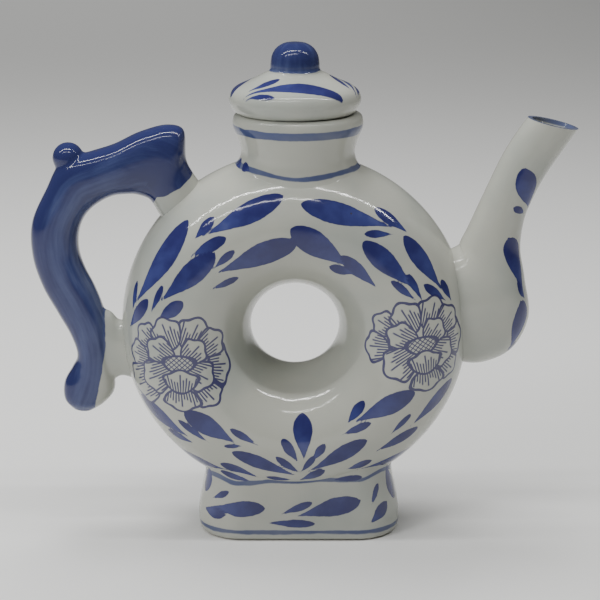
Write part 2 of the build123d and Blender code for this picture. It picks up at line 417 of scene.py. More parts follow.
class Shader:
    """A material's node tree, with short calls for the maths it needs."""

    def __init__(self, name):
        self.material = bpy.data.materials.new(name)
        self.material.use_nodes = True
        self.tree = self.material.node_tree
        self.bsdf = self.tree.nodes["Principled BSDF"]

    def feed(self, socket, value):
        """Link an output to an input, or set the input to a number or a colour."""
        if isinstance(value, bpy.types.NodeSocket):
            self.tree.links.new(value, socket)
        elif isinstance(value, tuple):
            socket.default_value = (*value, 1)
        else:
            socket.default_value = value

    def fill(self, node, inputs):
        for key, value in inputs.items():
            self.feed(node.inputs[key.replace("_", " ")], value)

    def node(self, kind, **inputs):
        made = self.tree.nodes.new(kind)
        self.fill(made, inputs)
        return made

    def surface(self, **inputs):
        self.fill(self.bsdf, inputs)

    def math(self, operation, *values):
        made = self.tree.nodes.new("ShaderNodeMath")
        made.operation = operation
        for socket, value in zip(made.inputs, values):
            self.feed(socket, value)
        return made.outputs[0]

    def add(self, first, second):
        return self.math("ADD", first, second)

    def subtract(self, first, second):
        return self.math("SUBTRACT", first, second)

    def multiply(self, first, second):
        return self.math("MULTIPLY", first, second)

    def maximum(self, first, second):
        return self.math("MAXIMUM", first, second)

    def ramp(self, value, low, high):
        """0 below low and 1 above high, smooth between. With low > high it falls."""
        ends = {"To_Min": 1, "To_Max": 0} if low > high else {}
        low, high = sorted((low, high))
        made = self.node("ShaderNodeMapRange", Value=value, From_Min=low, From_Max=high, **ends)
        made.interpolation_type = "SMOOTHSTEP"
        return made.outputs["Result"]

    def mix(self, share, first, second):
        made = self.tree.nodes.new("ShaderNodeMix")
        made.data_type = "RGBA"
        # a mix node's inputs are one set per data type: 6 and 7 are its colours
        for socket, value in ((0, share), (6, first), (7, second)):
            self.feed(made.inputs[socket], value)
        return made.outputs[2]

    def attribute(self, name, output="Fac"):
        made = self.tree.nodes.new("ShaderNodeAttribute")
        made.attribute_name = name
        return made.outputs[output]

    def split(self, name):
        """The three parts of a vector attribute."""
        return self.node("ShaderNodeSeparateXYZ", Vector=self.attribute(name, "Vector")).outputs

    def place(self):
        return self.node("ShaderNodeTexCoord").outputs["Object"]

    def noise(self, scale, detail, vector=None):
        if vector is None:
            vector = self.place()
        made = self.node("ShaderNodeTexNoise", Vector=vector, Scale=scale, Detail=detail)
        return made.outputs["Fac"]

    def wobble(self, scale, detail, amount):
        """Noise about zero, amount from its lowest to its highest."""
        return self.multiply(self.subtract(self.noise(scale, detail), 0.5), amount)


def finish_glaze(shader, color):
    """Clear glaze over the painted colour, with faint waves and a few pinholes."""
    cells = shader.node("ShaderNodeTexVoronoi", Vector=shader.place(), Scale=PIT_SCALE)
    chance = shader.node("ShaderNodeSeparateColor", Color=cells.outputs["Color"]).outputs[0]
    chosen = shader.math("GREATER_THAN", chance, 1 - PIT_SHARE)
    pit = shader.multiply(shader.ramp(cells.outputs["Distance"], 0.045, 0.025), chosen)
    color = shader.mix(shader.multiply(pit, 0.75), color, DIRT)
    waves = shader.add(shader.noise(45.0, 1.0), shader.multiply(shader.noise(170.0, 2.0), 0.22))
    height = shader.subtract(waves, shader.multiply(pit, 0.25))
    relief = shader.node("ShaderNodeBump", Height=height, Distance=GLAZE_RELIEF, Strength=1.0)
    shader.surface(Base_Color=color, Normal=relief.outputs["Normal"], Roughness=0.09, IOR=1.52)
    return shader.material


def bare_glaze_color(shader):
    return shader.mix(shader.ramp(shader.noise(28.0, 3.0), 0.40, 0.72), GLAZE, GLAZE_POOLED)


def stroke_color(shader, under):
    """Cobalt strokes over a colour: navy where the brush was full, paler at the tip."""
    edge = shader.add(shader.attribute("stroke"), shader.wobble(420.0, 3.0, 0.55))
    wash = shader.add(shader.attribute("along"), shader.wobble(130.0, 4.0, 1.6))
    ink = shader.mix(shader.ramp(wash, 0.05, 0.95), NAVY, COBALT)
    ink = shader.mix(shader.ramp(wash, 0.8, 1.5), ink, PALE_COBALT)
    rim = shader.multiply(shader.ramp(edge, -0.55, -0.10), 0.55)
    ink = shader.mix(rim, ink, NAVY)
    return shader.mix(shader.ramp(edge, 0.16, -0.14), under, ink)


def disc_hatching(shader, jitter):
    """Two sets of slanting lines that cross."""
    x, y, _ = shader.split("flower")
    lines = []
    for slant in (HATCH_SLANT, -HATCH_SLANT):
        diagonal = shader.add(shader.add(x, shader.multiply(y, slant)), 40.0)
        wave = shader.math("PINGPONG", shader.add(diagonal, jitter), 1.05)
        lines.append(shader.ramp(wave, 0.42, 0.20))
    return shader.maximum(*lines)


def petal_hatching(shader, number, reach, jitter):
    """Lines from a petal's base, each of its own length."""
    stripe = shader.add(number, shader.multiply(jitter, 0.5))
    chance = shader.node("ShaderNodeTexWhiteNoise")
    chance.noise_dimensions = "1D"
    shader.feed(chance.inputs["W"], shader.math("FLOOR", stripe))
    wave = shader.math("ABSOLUTE", shader.subtract(shader.math("FRACT", stripe), 0.5))
    end = shader.subtract(shader.multiply(chance.outputs["Value"], 1.1), 0.20)
    short = shader.ramp(shader.subtract(reach, end), 0.08, -0.08)
    return shader.multiply(shader.ramp(wave, 0.36, 0.18), short)


def flower_color(shader, under):
    """The peony's outlines and hatching, each petal layer hiding the ones behind it."""
    jitter = shader.wobble(160.0, 2.0, 0.9)
    weight = shader.add(shader.multiply(shader.noise(300.0, 1.0), 0.34), 0.22)
    ink = 0.0
    for layer, petals in enumerate(FLOWER_LAYERS):
        edge, number, reach = shader.split(f"petals_{layer}")
        distance = shader.add(edge, shader.multiply(jitter, 0.7))
        nearness = shader.subtract(shader.math("ABSOLUTE", distance), weight)
        outline = shader.ramp(nearness, 0.12, -0.02)
        inside = shader.math("LESS_THAN", distance, 0.0)
        if petals == [DISC]:
            marks = disc_hatching(shader, jitter)
        else:
            marks = petal_hatching(shader, number, reach, jitter)
        drawn = shader.maximum(outline, shader.multiply(marks, inside))
        ink = shader.maximum(drawn, shader.multiply(ink, shader.subtract(1.0, inside)))
    return shader.mix(shader.multiply(ink, 0.93), under, LINE_BLUE)


def band_color(shader, under):
    """A thin brushed band where the band field is negative."""
    edge = shader.add(shader.attribute("band"), shader.wobble(110.0, 3.0, 1.1))
    strength = shader.add(shader.multiply(shader.noise(60.0, 3.0), 0.5), 0.68)
    share = shader.multiply(shader.ramp(edge, BAND_SOFTNESS, -BAND_SOFTNESS), strength)
    return shader.mix(shader.math("MINIMUM", share, 1.0), under, BAND_BLUE)


def painted_material(name, flowers=False):
    shader = Shader(name)
    color = band_color(shader, bare_glaze_color(shader))
    color = stroke_color(shader, color)
    if flowers:
        color = flower_color(shader, color)
    return finish_glaze(shader, color)


def cobalt_material(name):
    """Brushed cobalt all over: streaks along the brush attribute, white where it stops."""
    shader = Shader(name)
    streak = shader.noise(1.0, 4.0, shader.attribute("brush", "Vector"))
    blotch = shader.noise(90.0, 3.0)
    tone = shader.add(shader.multiply(streak, 1.25), shader.multiply(blotch, 0.45))
    # This field darkens the cobalt: painted shade on the handle's outer side, a darker tone
    # elsewhere.
    tone = shader.add(tone, shader.attribute("painted_shade_and_tone"))
    color = shader.mix(shader.ramp(tone, 0.50, 1.00), BRUSH_DARK, BRUSH_BLUE)
    color = shader.mix(shader.ramp(tone, 0.90, 1.35), color, BRUSH_PALE)
    edge = shader.add(shader.attribute("bare"), shader.wobble(150.0, 3.0, 1.4))
    color = shader.mix(shader.ramp(edge, 0.2, -0.2), color, bare_glaze_color(shader))
    return finish_glaze(shader, color)


def clay_material(name):
    shader = Shader(name)
    color = shader.mix(shader.noise(300.0, 4.0), CLAY_DARK, CLAY_PALE)
    shader.surface(Base_Color=color, Roughness=0.75)
    return shader.material


RING_GLAZE = painted_material("painted ring glaze", flowers=True)
PAINTED_GLAZE = painted_material("painted glaze")
COBALT_GLAZE = cobalt_material("brushed cobalt glaze")
CLAY = clay_material("bare clay")


# ---- ring shells


RING_ROWS, RING_COLUMNS = 110, 440
SECTION_SAMPLES = 4001  # fine enough to space the rows evenly by arc length
NECK_HOLE_R = 22.2  # hidden by the neck's wall
STRAINER_R = 2.2
STRAINER_Y = 5.0
STRAINER_PITCH = 8.0
STRAINER_Z = 88.0


def ring_section():
    """(radius, depth, arc length, normal) of the tube's front half, at even arc steps."""
    fine = np.linspace(0, math.pi, SECTION_SAMPLES)
    r = TUBE_R + TUBE_HALF * np.cos(fine)
    y = RING_DEPTH * np.sin(fine)
    length = np.concatenate([[0], np.cumsum(np.hypot(np.diff(r), np.diff(y)))])
    even = np.linspace(0, length[-1], RING_ROWS)
    phi = np.interp(even, length, fine)
    normal = np.stack([np.cos(phi) / TUBE_HALF, np.sin(phi) / RING_DEPTH], 1)
    normal /= np.linalg.norm(normal, axis=1, keepdims=True)
    return TUBE_R + TUBE_HALF * np.cos(phi), RING_DEPTH * np.sin(phi), even, normal


def ring_shell(side):
    """The outer and inner skins of one half ring, and the flat chart its paint uses."""
    r, y, length, normal = ring_section()
    theta = full_turn(RING_COLUMNS)
    skins = []
    for inset in (0.0, WALL):
        radius = (r - inset * normal[:, 0])[:, None]
        depth = (y - inset * normal[:, 1])[:, None] + 0 * theta
        skin = [radius * np.cos(theta), side * depth, RING_Z + radius * np.sin(theta)]
        skins.append(np.stack(skin, -1))
    spread = (TUBE_R + length[-1] / 2 - length)[:, None]
    chart = np.stack([-side * spread * np.cos(theta), spread * np.sin(theta)], -1)
    return skins, chart


def shell_faces(skins):
    """Faces of a shell with the neck hole and the strainer holes left open."""
    outer = skins[0]
    rows, columns = outer.shape[:2]
    faces = grid_faces(rows, columns)
    middle = outer.reshape(-1, 3)[faces].mean(1)
    hole = np.hypot(middle[:, 0] - NECK_X, middle[:, 1]) < NECK_HOLE_R
    hole &= middle[:, 2] > RING_Z + TUBE_R
    for y in (-STRAINER_Y, STRAINER_Y):
        for row in (-1, 0, 1):
            z = STRAINER_Z + row * STRAINER_PITCH
            near = np.hypot(middle[:, 1] - y, middle[:, 2] - z) < STRAINER_R
            hole |= near & (middle[:, 0] > TUBE_R)
    kept = faces[~hole]
    count = rows * columns
    starts = kept.ravel()
    ends = np.roll(kept, -1, axis=1).ravel()
    lone = ~np.isin(starts * count + ends, ends * count + starts)
    starts, ends = starts[lone], ends[lone]
    bridges = np.stack([ends, starts, starts + count, ends + count], 1)
    return np.concatenate([kept, kept[:, ::-1] + count, bridges])


def used_points(faces, count):
    """Which of count points the faces use, and the faces renumbered to match."""
    used = np.unique(faces)
    index = np.zeros(count, int)
    index[used] = np.arange(len(used))
    return used, index[faces]


def ring_fields(chart):
    """The painted fields of a shell's outer skin. Flowers hide the strokes behind them."""
    stroke, along = stroke_field(chart, RING_STROKES)
    fields, hatch = flower_fields(chart)
    nearest_petal = np.minimum.reduce([petals[..., 0] for petals in fields.values()])
    fields["stroke"] = np.maximum(stroke, -nearest_petal)
    fields["along"] = along
    fields["flower"] = hatch
    fields["band"] = np.full_like(stroke, FAR_AWAY)
    return fields


for side, name in ((-1, "ring_front_shell"), (1, "ring_rear_shell")):
    skins, chart = ring_shell(side)
    points = np.concatenate([skin.reshape(-1, 3) for skin in skins])
    used, faces = used_points(shell_faces(skins), len(points))
    painted = {}
    for key, outer in ring_fields(chart).items():
        both = np.stack([outer, np.full_like(outer, FAR_AWAY)])
        painted[key] = both.reshape(-1, *outer.shape[2:])[used]
    make_piece(name, points[used], faces, "pot", RING_GLAZE, painted)


# ---- neck

NECK_SIDE = [
    (22.9, 141.0),
    (21.7, 144.2),
    (21.3, 147.0),
    (22.2, 150.8),
    (23.4, 154.0),
    (24.25, 156.4),
    (24.3, 158.6),
    (23.75, 160.3),
    (22.4, 161.15),
]
NECK_COLUMNS = 192
NECK_SEARCH_Z = (150.0, 120.0)  # heights clear of the ring's wall, above and below it
BORE_SEARCH_Z = (150.0, 100.0)
NECK_FILLET = 1.1  # how far the luted joint spreads
NECK_FILLET_HEIGHT = 0.9  # how fast it dies away above the ring
NECK_SEAT_SINK = 0.2  # how far the joint is sunk in the ring
RIM_BAND = (156.0, 1.5)  # (height, half width)
NECK_LINE = (0.9, 0.95)  # (height above the ring at the sides, half width)
NECK_LINE_RISE = 4.2  # how much farther above the ring the line runs at the front
NECK_GIRTH_R = 22.5  # turns an angle round the neck into a length


def neck():
    """The neck's closed grid, from its bore over the rim and down to the ring."""
    angle = full_turn(NECK_COLUMNS)
    around = np.stack([np.cos(angle), np.sin(angle)], -1)

    def at(radius, z):
        flat = around * np.broadcast_to(radius, angle.shape)[:, None] + (NECK_X, 0)
        return np.concatenate([flat, np.broadcast_to(z, angle.shape)[:, None]], -1)

    lip = NECK_SIDE[0][0] + NECK_FILLET
    seat = meet_ring(lambda z: at(lip, z), NECK_COLUMNS, *NECK_SEARCH_Z, -NECK_SEAT_SINK)
    inner_low = meet_ring(lambda z: at(BORE_R, z), NECK_COLUMNS, *BORE_SEARCH_Z, -WALL)
    rows = [at(BORE_R, inner_low + s * (RIM_TOP - 1.0 - inner_low)) for s in np.linspace(0, 1, 12)]
    rows += [at(BORE_R + 0.3, RIM_TOP - 0.3), at(BORE_R + 1.0, RIM_TOP)]
    side = spline(NECK_SIDE, np.linspace(1, 0, 40))
    top_z, low_z = side[0, 1], side[-1, 1]
    for radius, z in side:
        share = (z - low_z) / (top_z - low_z)
        height = z + (seat - low_z) * (1 - share) ** 2.2
        flare = NECK_FILLET * np.exp(-(height - seat) / NECK_FILLET_HEIGHT)
        rows.append(at(radius + flare, height))
    rows.append(at(NECK_SIDE[0][0], inner_low))
    return np.stack(rows), seat


neck_grid, neck_seat = neck()
outside = np.hypot(neck_grid[..., 0] - NECK_X, neck_grid[..., 1]) > BORE_R + 1.2
rim_band = np.abs(neck_grid[..., 2] - RIM_BAND[0]) - RIM_BAND[1]
neck_turn = np.arctan2(neck_grid[..., 1], neck_grid[..., 0] - NECK_X)
line_height = neck_seat + NECK_LINE[0] + NECK_LINE_RISE * np.sin(neck_turn) ** 2
neck_line = np.abs(neck_grid[..., 2] - line_height) - NECK_LINE[1]
from_front = (neck_turn + 1.5 * math.pi) % (2 * math.pi) - math.pi
neck_chart = np.stack([from_front * NECK_GIRTH_R, neck_grid[..., 2] - line_height], -1)
neck_stroke, neck_along = stroke_field(neck_chart, NECK_STROKES)
neck_fields = {
    "band": np.where(outside, np.minimum(rim_band, neck_line), FAR_AWAY),
    "stroke": np.where(outside, neck_stroke, FAR_AWAY),
    "along": neck_along,
}
make_grid_piece("neck_collar", neck_grid, "pot", PAINTED_GLAZE, neck_fields)


# ---- foot

# (height, half length, half depth, corner radius) of the foot's outline
FOOT_KEYS = [
    (0.0, 36.3, 21.5, 14.6),
    (0.35, 37.4, 22.6, 15.7),
    (1.4, 38.2, 23.3, 16.5),
    (4.0, 38.7, 23.9, 17.0),
    (9.0, 38.7, 24.0, 17.2),
    (17.0, 37.1, 23.5, 17.2),
    (25.0, 35.4, 23.0, 17.0),
    (36.0, 34.6, 22.6, 16.6),
]
FOOT_WALL = 4.6
FOOT_CHAMFER = 0.6  # height of the recess's worn lower edge
FOOT_CHAMFER_INSET = 4.2
FOOT_SECTION_STEP = 0.5
FOOT_SEARCH_Z = (2.0, 36.0)  # heights clear of the ring, and well inside it
FOOT_FILLET = 1.3  # how far the luted joint spreads where the foot meets the ring
FOOT_FILLET_HEIGHT = 1.4
FOOT_SEAT_SINK = 0.25
RECESS_ROWS = 8
OUTLINE_CORNER_STEPS = 26
OUTLINE_SIDE_STEPS = (20, 60)  # along an end, along the front or back
FOOT_BAND = (3.7, 0.95)  # (height, half width)
FOOT_LINE = (1.5, 0.85)  # (depth below the ring at the front, half width)
FOOT_LINE_DROP = 4.6  # how much lower the line runs where the foot's corners begin
FOOT_LINE_LIFT = 3.6  # how much of that it regains at the foot's ends
CLAY_BELOW = 0.3  # faces lower than this are bare clay


def rounded_outline(half_length, half_depth, corner):
    """A rounded rectangle as a loop of (x, y), the same number of points for any size."""
    centre_x, centre_y = half_length - corner, half_depth - corner
    loop = []
    corners = [(1, -1, -90), (1, 1, 0), (-1, 1, 90), (-1, -1, 180)]
    for n, (sx, sy, start) in enumerate(corners):
        for k in range(OUTLINE_CORNER_STEPS):
            a = math.radians(start + 90 * k / OUTLINE_CORNER_STEPS)
            loop.append((sx * centre_x + corner * math.cos(a), sy * centre_y + corner * math.sin(a)))
        a = math.radians(start + 90)
        next_x, next_y, _ = corners[(n + 1) % 4]
        steps = OUTLINE_SIDE_STEPS[n % 2]
        for k in range(steps):
            x = (sx + (next_x - sx) * k / steps) * centre_x
            y = (sy + (next_y - sy) * k / steps) * centre_y
            loop.append((x + corner * math.cos(a), y + corner * math.sin(a)))
    return np.array(loop) + (FOOT_X, 0)


def foot():
    """The foot's closed grid, from its recess round the lower edge and up to the ring."""
    keys = np.array(FOOT_KEYS)

    def section(z, inset=0.0):
        half_length, half_depth, corner = (np.interp(z, keys[:, 0], keys[:, k]) for k in (1, 2, 3))
        return rounded_outline(half_length - inset, half_depth - inset, max(corner - inset, 2.0))

    def at(z_columns, inset=0.0):
        heights = np.arange(0, keys[-1, 0] + FOOT_SECTION_STEP / 2, FOOT_SECTION_STEP)
        table = np.stack([section(z, inset) for z in heights])
        z_columns = np.broadcast_to(z_columns, (table.shape[1],))
        x = [np.interp(z, heights, table[:, n, 0]) for n, z in enumerate(z_columns)]
        y = [np.interp(z, heights, table[:, n, 1]) for n, z in enumerate(z_columns)]
        return np.stack([x, y, z_columns], -1)

    def flared(z_columns, flare):
        ring = at(z_columns)
        outward = ring[:, :2] - (FOOT_X, 0)
        outward /= np.linalg.norm(outward, axis=1, keepdims=True)
        ring[:, :2] += outward * np.reshape(flare, (-1, 1))
        return ring

    columns = len(section(0))
    seat = meet_ring(lambda z: flared(z, FOOT_FILLET), columns, *FOOT_SEARCH_Z, -FOOT_SEAT_SINK)
    inner_seat = meet_ring(lambda z: at(z, FOOT_WALL), columns, *FOOT_SEARCH_Z)
    rows = [
        at(FOOT_CHAMFER + s * (inner_seat - FOOT_CHAMFER), FOOT_WALL)
        for s in np.linspace(1, 0, RECESS_ROWS)
    ]
    for inset in (FOOT_CHAMFER_INSET, 0.0):
        rows.append(np.concatenate([section(0, inset), np.zeros((columns, 1))], 1))
    for z in (0.12, 0.35, 0.8, 1.4, 2.6):
        rows.append(at(z))
    for s in np.linspace(0, 1, 34):
        height = 4.0 + s * (seat - 4.0)
        rows.append(flared(height, FOOT_FILLET * np.exp(-(seat - height) / FOOT_FILLET_HEIGHT)))
    return np.stack(rows)


foot_grid = foot()
loop = rounded_outline(*FOOT_KEYS[5][1:])
steps = np.linalg.norm(np.roll(loop, -1, 0) - loop, axis=1)
round_length = np.concatenate([[0], np.cumsum(steps)[:-1]])
girth = steps.sum()
front_middle = round_length[np.argmin(np.abs(loop[:, 0] - FOOT_X) + 100 * (loop[:, 1] > 0))]
round_length = (round_length - front_middle + girth / 4) % (girth / 2) - girth / 4
foot_chart = np.stack([round_length + 0 * foot_grid[..., 2], foot_grid[..., 2]], -1)
foot_stroke, foot_along = stroke_field(foot_chart, FOOT_STROKES)
foot_top = foot_grid[-1, :, 2]
from_middle = np.abs(loop[:, 0] - FOOT_X)
line_height = foot_top - FOOT_LINE[0] - FOOT_LINE_DROP * smoothstep(7.0, 28.0, from_middle)
line_height += FOOT_LINE_LIFT * smoothstep(24.0, 36.0, from_middle)
foot_band = np.minimum(
    np.abs(foot_grid[..., 2] - FOOT_BAND[0]) - FOOT_BAND[1],
    np.abs(foot_grid[..., 2] - line_height) - FOOT_LINE[1],
)
inner = np.arange(foot_grid.shape[0])[:, None] < RECESS_ROWS + 2
foot_fields = {
    "stroke": np.where(inner, FAR_AWAY, foot_stroke),
    "along": foot_along,
    "band": np.where(inner, FAR_AWAY, foot_band),
}
foot_piece = make_grid_piece("pedestal_foot", foot_grid, "pot", PAINTED_GLAZE, foot_fields)
foot_piece.data.materials.append(CLAY)
for face in foot_piece.data.polygons:
    if face.center.z < CLAY_BELOW * MM:
        face.material_index = 1


# ---- spout and handle

# (x, z) of the upper side, (x, z) of the lower side, half depth
SPOUT_KEYS = [
    (57.0, 108.0, 57.0, 66.0, 14.0),
    (61.8, 110.4, 71.3, 64.8, 15.0),
    (62.4, 111.6, 82.6, 70.0, 14.6),
    (63.0, 113.0, 89.1, 82.5, 13.4),
    (63.8, 114.6, 87.3, 98.0, 11.8),
    (65.0, 117.0, 85.3, 109.5, 10.6),
    (68.2, 124.3, 86.4, 120.5, 9.5),
    (72.6, 134.3, 89.4, 128.8, 8.9),
    (77.6, 145.2, 93.9, 137.7, 8.8),
    (82.4, 153.3, 99.7, 146.6, 8.9),
    (86.7, 159.5, 105.6, 155.2, 9.2),
]
SPOUT_WALL, MOUTH_WALL = 3.0, 1.7
SPOUT_ROWS, SPOUT_COLUMNS = 110, 120
BORE_ROWS = 40
SPOUT_CROWDING = 1.15  # above 1 the rows crowd towards the ring
MOUTH_ROWS = 15  # rows of patchy cobalt just inside the mouth
MOUTH_PATCHES = 0.42  # their distance from the painted band's edge

HANDLE_KEYS = [
    (-44.5, 116.4, -33.0, 131.6, 8.4),
    (-50.6, 122.2, -37.2, 136.6, 8.2),
    (-53.4, 126.9, -40.6, 143.0, 8.2),
    (-55.8, 129.2, -41.8, 155.0, 8.4),
    (-59.5, 130.3, -47.0, 156.6, 8.5),
    (-63.5, 130.4, -57.8, 154.0, 8.5),
    (-68.0, 129.9, -68.0, 149.2, 8.4),
    (-72.1, 128.1, -76.6, 146.5, 8.3),
    (-76.6, 124.9, -87.2, 143.0, 8.3),
    (-79.8, 120.7, -93.6, 132.0, 8.4),
    (-81.6, 115.0, -99.2, 119.4, 8.6),
    (-81.6, 108.0, -99.3, 106.6, 8.6),
    (-79.4, 101.0, -95.8, 94.8, 8.5),
    (-76.0, 94.0, -90.9, 85.4, 8.3),
    (-72.6, 84.0, -85.6, 75.4, 8.0),
    (-71.0, 72.0, -83.5, 67.6, 7.7),
    (-69.6, 61.0, -85.6, 62.8, 7.5),
    (-69.6, 53.5, -88.9, 56.6, 7.5),
    (-73.4, 48.8, -88.8, 50.2, 6.9),
    (-78.6, 45.4, -85.2, 45.8, 3.6),
]
STRUT_KEYS = [
    (-77.0, 56.5, -77.0, 86.5, 5.4),
    (-70.5, 57.5, -70.5, 84.6, 6.0),
    (-66.6, 59.4, -67.2, 81.2, 6.2),
    (-60.0, 57.6, -60.0, 83.4, 7.4),
]
SQUARENESS = 0.82  # 1 is an oval section and less is squarer
THUMB_STOP = (-84.9, 0.0, 144.1)
THUMB_STOP_R = 5.9
VOXEL = 0.55
CENTRE_LINE_SAMPLES = 500

# (x, z) along the edges where the handle's cobalt stops and the glaze is bare
UPPER_EDGE = [(-53.3, 127.0), (-51.5, 130.4), (-48.7, 131.0), (-42.7, 133.9), (-38.0, 138.6)]
LOWER_EDGE = [(-77.8, 44.0), (-75.2, 55.2), (-73.5, 63.2), (-72.1, 73.2), (-72.2, 89.1)]
UPPER_EDGE_FROM_Z = 108.0
LOWER_EDGE_TO_Z = 92.0
BRUSH_SCALE = (0.035, 0.42, 0.30)  # long streaks: little change along, more across


def tube_points(keys, t, angle, power=1.0, inset=0.0):
    """Points round a tube of oval sections. Angle 0 is the section's second key point."""
    near_x, near_z, far_x, far_z, half_depth = np.moveaxis(spline(keys, t), -1, 0)
    half = np.hypot(far_x - near_x, far_z - near_z) / 2
    scale = (half - inset) / half
    across = np.sign(np.cos(angle)) * np.abs(np.cos(angle)) ** power * scale
    along_y = np.sign(np.sin(angle)) * np.abs(np.sin(angle)) ** power
    return np.stack(
        [
            (near_x + far_x) / 2 + (far_x - near_x) / 2 * across,
            -(half_depth - inset) * along_y,
            (near_z + far_z) / 2 + (far_z - near_z) / 2 * across,
        ],
        -1,
    )


def centre_line(keys):
    """A tube's key rows at even parameters, its middle line, and the length along it."""
    keys = spline(keys, np.linspace(0, 1, CENTRE_LINE_SAMPLES))
    middle = (keys[:, :2] + keys[:, 2:4]) / 2
    length = np.concatenate([[0], np.cumsum(np.hypot(*np.diff(middle, axis=0).T))])
    return keys, middle, length


def spout():
    """The spout's closed grid, out along the skin and back down the bore, and its chart."""
    angle = full_turn(SPOUT_COLUMNS)

    def bore(t):
        wall = SPOUT_WALL + (MOUTH_WALL - SPOUT_WALL) * t
        return tube_points(SPOUT_KEYS, t, angle, inset=wall)

    start = meet_ring(lambda t: tube_points(SPOUT_KEYS, t, angle), SPOUT_COLUMNS, 1, 0)
    stations = start + np.linspace(0, 1, SPOUT_ROWS)[:, None] ** SPOUT_CROWDING * (1 - start)
    rows = [tube_points(SPOUT_KEYS, t, angle) for t in stations]
    inner_start = meet_ring(bore, SPOUT_COLUMNS, 1, 0)
    rows += [bore(inner_start + s * (1 - inner_start)) for s in np.linspace(1, 0, BORE_ROWS)]

    keys, _, length = centre_line(SPOUT_KEYS)
    even = np.linspace(0, 1, CENTRE_LINE_SAMPLES)
    to_mouth = np.interp(stations, even, length[-1] - length)
    half = np.hypot(*(keys[:, 2:4] - keys[:, :2]).T) / 2
    girth = np.interp(stations, even, (half + keys[:, 4]) / 2)
    from_side = np.abs((angle + math.pi) % (2 * math.pi) - math.pi)
    chart = np.stack([(math.pi / 2 - from_side) * girth, to_mouth], -1)
    return np.stack(rows), chart


spout_grid, spout_chart = spout()
stroke, along = stroke_field(spout_chart, SPOUT_STROKES)
spout_fields = {key: np.full(spout_grid.shape[:2], FAR_AWAY) for key in ("stroke", "along", "band")}
spout_fields["stroke"][:SPOUT_ROWS] = stroke
spout_fields["along"][:SPOUT_ROWS] = along
spout_fields["band"][SPOUT_ROWS - 1 : SPOUT_ROWS + 1] = -1.0
spout_fields["band"][SPOUT_ROWS + 1 : SPOUT_ROWS + 1 + MOUTH_ROWS] = MOUTH_PATCHES
make_grid_piece("spout", spout_grid, "pot", PAINTED_GLAZE, spout_fields)


def solid_tube(keys, rows, columns):
    """A closed tube mesh: its grid plus a fan at each end."""
    angle = full_turn(columns)
    stations = np.linspace(0, 1, rows)
    grid = np.stack([tube_points(keys, np.full(columns, t), angle, SQUARENESS) for t in stations])
    points = np.concatenate([grid.reshape(-1, 3), [grid[0].mean(0), grid[-1].mean(0)]])
    faces = grid_faces(rows, columns).tolist()
    for centre, start in ((rows * columns, 0), (rows * columns + 1, (rows - 1) * columns)):
        for j in range(columns):
            triangle = [centre, start + (j + 1) % columns, start + j]
            faces.append(triangle if start == 0 else triangle[::-1])
    return points, faces


def handle():
    """The strap, its strut and the thumb stop, melted into one skin by a voxel remesh."""
    points, faces = [], []
    for part_points, part_faces in (solid_tube(HANDLE_KEYS, 260, 72), solid_tube(STRUT_KEYS, 40, 48)):
        base = len(points)
        points += part_points.tolist()
        faces += [[base + v for v in face] for face in part_faces]
    mesh = bpy.data.meshes.new("handle_blend")
    mesh.from_pydata([[c * MM for c in p] for p in points], [], faces)
    blend = add_object("handle_blend", mesh)
    shape = bmesh.new()
    shape.from_mesh(mesh)
    ball = bmesh.ops.create_uvsphere(shape, u_segments=48, v_segments=24, radius=THUMB_STOP_R * MM)
    bmesh.ops.translate(shape, verts=ball["verts"], vec=Vector(THUMB_STOP) * MM)
    bmesh.ops.recalc_face_normals(shape, faces=shape.faces)
    shape.to_mesh(mesh)
    shape.free()
    remesh = blend.modifiers.new("one skin", "REMESH")
    remesh.mode = "VOXEL"
    remesh.voxel_size = VOXEL * MM
    relax = blend.modifiers.new("soft glaze", "SMOOTH")
    relax.iterations = 10
    relax.factor = 0.6
    bpy.context.view_layer.update()
    done = blend.evaluated_get(bpy.context.evaluated_depsgraph_get()).to_mesh()
    points = np.empty(len(done.vertices) * 3)
    done.vertices.foreach_get("co", points)
    faces = np.array([list(polygon.vertices) for polygon in done.polygons])
    bpy.data.objects.remove(blend)
    return points.reshape(-1, 3) / MM, faces


def handle_fields(points):
    """Brush direction, darkness (partly painted shade) and bare ends, worked out from each point's
    place.
    """
    keys, middle, length = centre_line(HANDLE_KEYS)
    across = keys[:, 2:4] - keys[:, :2]
    across /= np.linalg.norm(across, axis=1, keepdims=True)
    flat = points[:, [0, 2]]
    nearest = np.array([np.argmin(((middle - p) ** 2).sum(1)) for p in flat])
    run = length[nearest]
    offset = ((flat - middle[nearest]) * across[nearest]).sum(1)
    brush = np.stack([run, offset, points[:, 1]], 1) * BRUSH_SCALE
    # Painted shade: the colour is darkened on the strap's outer side, where it turns away from the
    # light. The upper end is darker as well.
    painted_shade_side = smoothstep(3.0, 8.0, offset) * smoothstep(25.0, 60.0, run)
    upper_end = 1 - smoothstep(20.0, 60.0, run)
    x, z = flat.T
    edge_x, edge_z = np.array(UPPER_EDGE).T
    on_upper = (z > UPPER_EDGE_FROM_Z) & (x > edge_x[0])
    upper = np.where(on_upper, z - np.interp(x, edge_x, edge_z), FAR_AWAY)
    edge_x, edge_z = np.array(LOWER_EDGE).T
    lower = np.where(z < LOWER_EDGE_TO_Z, np.interp(z, edge_z, edge_x) - x, FAR_AWAY)
    return {
        "brush": brush,
        "painted_shade_and_tone": -0.55 * painted_shade_side - 0.35 * upper_end,
        "bare": np.minimum(upper, lower),
    }


handle_points, handle_faces = handle()
painted = handle_fields(handle_points)
make_piece("handle", handle_points, handle_faces, "pot", COBALT_GLAZE, painted)


# ---- lid

LID_SIDE = [
    (14.9, 161.2),
    (21.0, 161.2),
    (22.5, 162.0),
    (23.9, 163.8),
    (24.6, 166.1),
    (24.3, 168.0),
    (23.4, 169.6),
    (21.9, 170.9),
    (17.9, 172.8),
    (14.0, 174.6),
    (10.4, 176.4),
    (7.5, 177.3),
    (0.0, 177.5),
]
